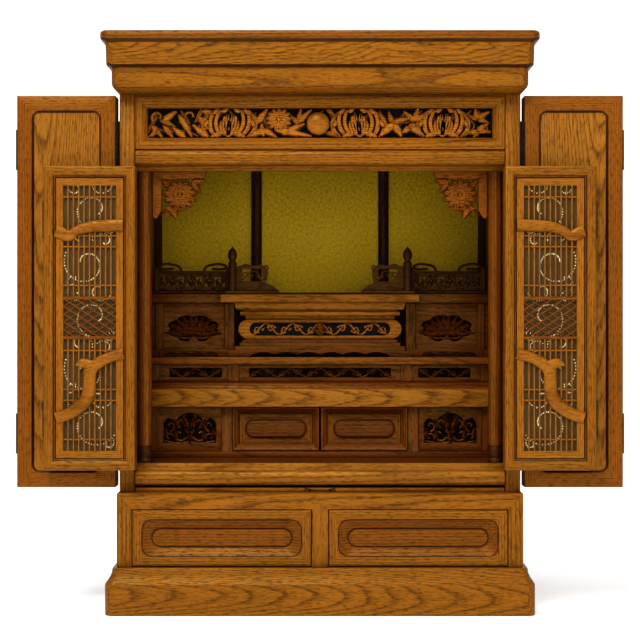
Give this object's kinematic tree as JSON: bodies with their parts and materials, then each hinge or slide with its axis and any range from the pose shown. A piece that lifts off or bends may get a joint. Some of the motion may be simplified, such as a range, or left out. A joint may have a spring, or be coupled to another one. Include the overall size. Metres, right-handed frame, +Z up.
{
  "type": "household altar cabinet",
  "caption": "Tabletop wooden altar cabinet on a drawer base, with folding outer doors, folding lattice inner doors, a carved transom and an altar before a gilded wall.",
  "frame": {"origin": "middle of the plinth's underside", "axes": "+Z up, -Y out through the doors, +X to the right of someone facing them"},
  "size_m": [0.6366, 0.31, 0.606],
  "materials": {
    "wood": "stained open-grained hardwood under satin lacquer",
    "dark_wood": "dark stained wood, satin",
    "lattice_wood": "orange-brown stained straight-grained wood, satin",
    "carved_wood": "carved wood, thin satin finish",
    "gold_leaf": "gold leaf, softly mottled, satin",
    "black_lacquer": "black lacquer",
    "gauze": "fine dark gauze with woven gold thread",
    "iron": "black oxidised metal"
  },
  "bodies": {
    "root": {"plinth": "wood", "base_case": "wood", "base_frame": "wood", "cornice": "wood", "back_panel": "wood", "ceiling": "dark_wood", "floor": "wood", "sill": "wood", "door_head": "wood", "transom_frame": "wood", "transom_backing": "black_lacquer", "transom_carving": "carved_wood", "transom_boss": "carved_wood", "gold_panel": "gold_leaf", "wall_frame": "dark_wood", "upper_shelf": "wood", "altar_top": "wood", "altar_waist": "carved_wood", "altar_base": "wood", "step_shelf": "wood", "band": "wood", "counter": "wood", "lower_frame": "wood", "side_left": "wood", "side_right": "wood", "column_left": "dark_wood", "column_right": "dark_wood", "bracket_left": "carved_wood", "bracket_right": "carved_wood", "side_rail_left": "dark_wood", "side_rail_right": "dark_wood", "side_carving_left": "wood", "side_carving_right": "wood", "altar_rail_left": "dark_wood", "altar_rail_right": "dark_wood", "lower_carving_left": "wood", "lower_carving_right": "wood"},
    "tray": {"tray": "wood", "tray_pull": "iron"},
    "left_outer_door": {"outer_door_left": "wood"},
    "left_outer_fold": {"outer_fold_left": "wood"},
    "left_inner_door": {"inner_door_frame_left": "wood", "inner_door_lattice_left": "lattice_wood", "inner_door_gauze_left": "gauze"},
    "left_inner_fold": {"inner_fold_frame_left": "wood", "inner_fold_lattice_left": "lattice_wood", "inner_fold_gauze_left": "gauze"},
    "left_base_drawer": {"base_drawer_left": "wood"},
    "left_small_drawer": {"small_drawer_left": "wood"},
    "right_outer_door": {"outer_door_right": "wood"},
    "right_outer_fold": {"outer_fold_right": "wood"},
    "right_inner_door": {"inner_door_frame_right": "wood", "inner_door_lattice_right": "lattice_wood", "inner_door_gauze_right": "gauze"},
    "right_inner_fold": {"inner_fold_frame_right": "wood", "inner_fold_lattice_right": "lattice_wood", "inner_fold_gauze_right": "gauze"},
    "right_base_drawer": {"base_drawer_right": "wood"},
    "right_small_drawer": {"small_drawer_right": "wood"}
  },
  "joints": [
    {"name": "left_outer_door", "type": "hinge", "parent": "root", "child": "left_outer_door", "pos_m": [-0.213, -0.1235, 0.336], "axis": [0, 0, 1], "range_deg": [0, 180]},
    {"name": "left_outer_fold", "type": "hinge", "parent": "left_outer_door", "child": "left_outer_fold", "pos_m": [-0.31965, -0.1066, 0.336], "axis": [0, 0, 1], "range_deg": [0, 180]},
    {"name": "left_inner_door", "type": "hinge", "parent": "root", "child": "left_inner_door", "pos_m": [-0.1929, -0.1234, 0.308], "axis": [0, 0, 1], "range_deg": [0, 180]},
    {"name": "left_inner_fold", "type": "hinge", "parent": "left_inner_door", "child": "left_inner_fold", "pos_m": [-0.2881, -0.1371, 0.308], "axis": [0, 0, 1], "range_deg": [-180, 0]},
    {"name": "left_base_drawer", "type": "slide", "parent": "root", "child": "left_base_drawer", "axis": [0, -1, 0], "range_m": [0, 0.18]},
    {"name": "left_small_drawer", "type": "slide", "parent": "root", "child": "left_small_drawer", "axis": [0, -1, 0], "range_m": [0, 0.085]},
    {"name": "right_outer_door", "type": "hinge", "parent": "root", "child": "right_outer_door", "pos_m": [0.213, -0.1235, 0.336], "axis": [0, 0, -1], "range_deg": [0, 180]},
    {"name": "right_outer_fold", "type": "hinge", "parent": "right_outer_door", "child": "right_outer_fold", "pos_m": [0.31965, -0.1066, 0.336], "axis": [0, 0, -1], "range_deg": [0, 180]},
    {"name": "right_inner_door", "type": "hinge", "parent": "root", "child": "right_inner_door", "pos_m": [0.1929, -0.1234, 0.308], "axis": [0, 0, -1], "range_deg": [0, 180]},
    {"name": "right_inner_fold", "type": "hinge", "parent": "right_inner_door", "child": "right_inner_fold", "pos_m": [0.2881, -0.1371, 0.308], "axis": [0, 0, -1], "range_deg": [-180, 0]},
    {"name": "right_base_drawer", "type": "slide", "parent": "root", "child": "right_base_drawer", "axis": [0, -1, 0], "range_m": [0, 0.18]},
    {"name": "right_small_drawer", "type": "slide", "parent": "root", "child": "right_small_drawer", "axis": [0, -1, 0], "range_m": [0, 0.085]},
    {"name": "tray", "type": "slide", "parent": "root", "child": "tray", "axis": [0, -1, 0], "range_m": [0, 0.18]}
  ],
  "couplings": [
    {"joint": "left_inner_door", "follows": "left_outer_door", "ratio": 1},
    {"joint": "left_inner_fold", "follows": "left_outer_door", "ratio": -1},
    {"joint": "right_inner_door", "follows": "right_outer_door", "ratio": 1},
    {"joint": "right_inner_fold", "follows": "right_outer_door", "ratio": -1}
  ]
}
